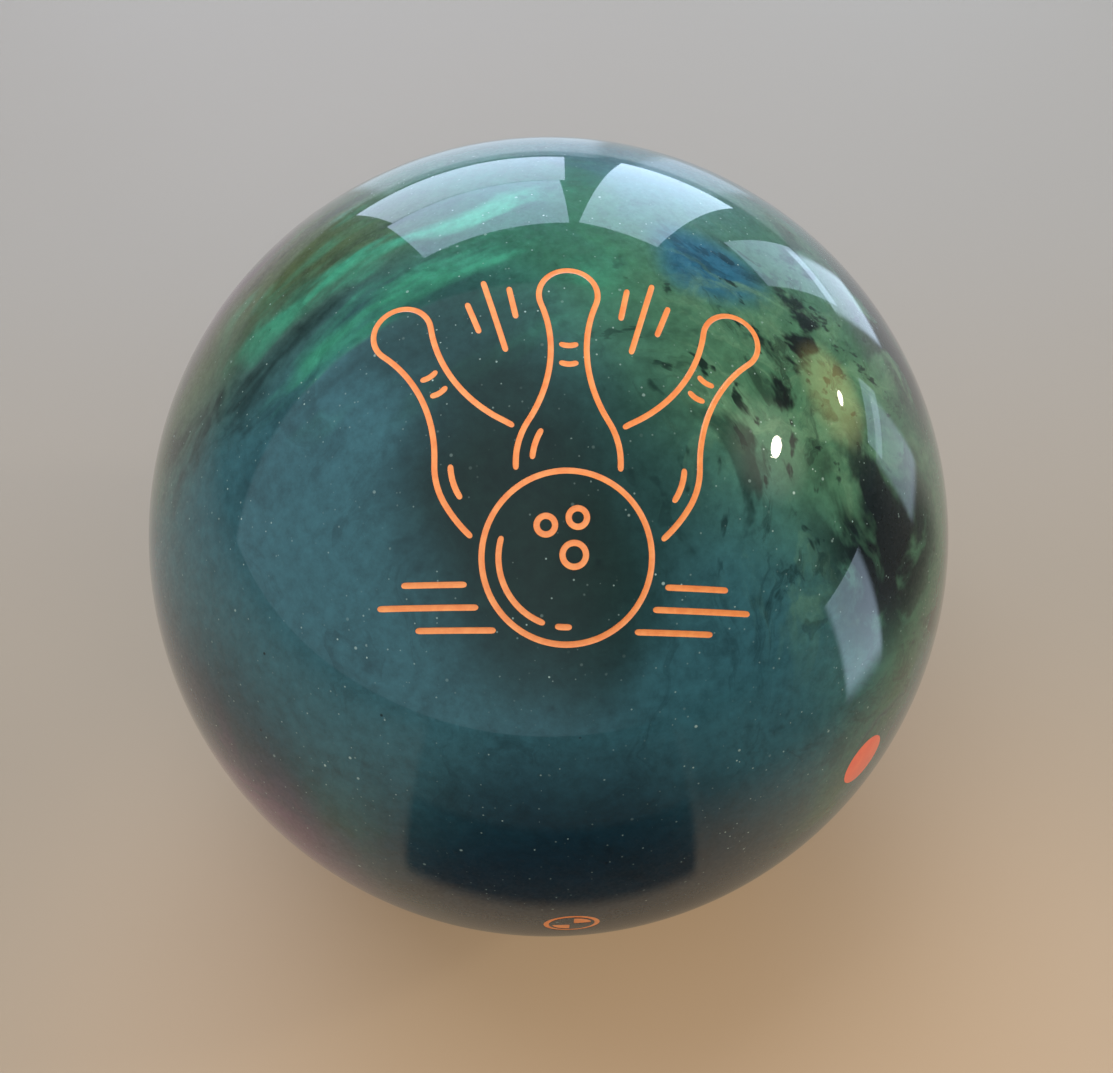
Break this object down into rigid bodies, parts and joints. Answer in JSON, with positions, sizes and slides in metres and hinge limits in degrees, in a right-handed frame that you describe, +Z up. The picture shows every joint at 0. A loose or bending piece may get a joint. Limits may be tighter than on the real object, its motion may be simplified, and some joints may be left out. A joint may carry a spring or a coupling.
{
  "type": "bowling ball",
  "caption": "Undrilled bowling ball: dark green pearl cover over a filler sphere and an asymmetric weight block, with orange enamel line art and an orange pin plug.",
  "frame": {"origin": "centre of the ball", "axes": "+Z up as the ball rests, -Y is the front, the side the line emblem faces (tilted up by about 61 degrees), +X to the right of the front"},
  "size_m": [0.217, 0.217, 0.217],
  "materials": {
    "cover": "polished pearl resin, emerald to dark teal",
    "filler": "cast bubble-filled resin",
    "weight_block": "cast mineral-filled resin",
    "core_insert": "cast mineral-filled resin, denser",
    "flip_block": "cast mineral-filled resin",
    "plug_resin": "cast resin",
    "pin_resin": "polished with the cover",
    "enamel": "glossy air-dried enamel"
  },
  "bodies": {
    "root": {"coverstock": "cover", "outer_core": "filler", "weight_block": "weight_block", "core_insert": "core_insert", "flip_block": "flip_block", "core_pin_plug": "plug_resin", "pin": "pin_resin", "emblem_ball_outline": "enamel", "emblem_ball_sheen": "enamel", "emblem_finger_holes": "enamel", "emblem_middle_skittle": "enamel", "emblem_right_skittle": "enamel", "emblem_left_skittle": "enamel", "emblem_neck_bands": "enamel", "emblem_skittle_sheens": "enamel", "emblem_rays": "enamel", "emblem_lane_lines": "enamel", "cg_mark_ring": "enamel", "cg_mark_quadrants": "enamel", "mass_bias_mark": "enamel"}
  },
  "joints": []
}
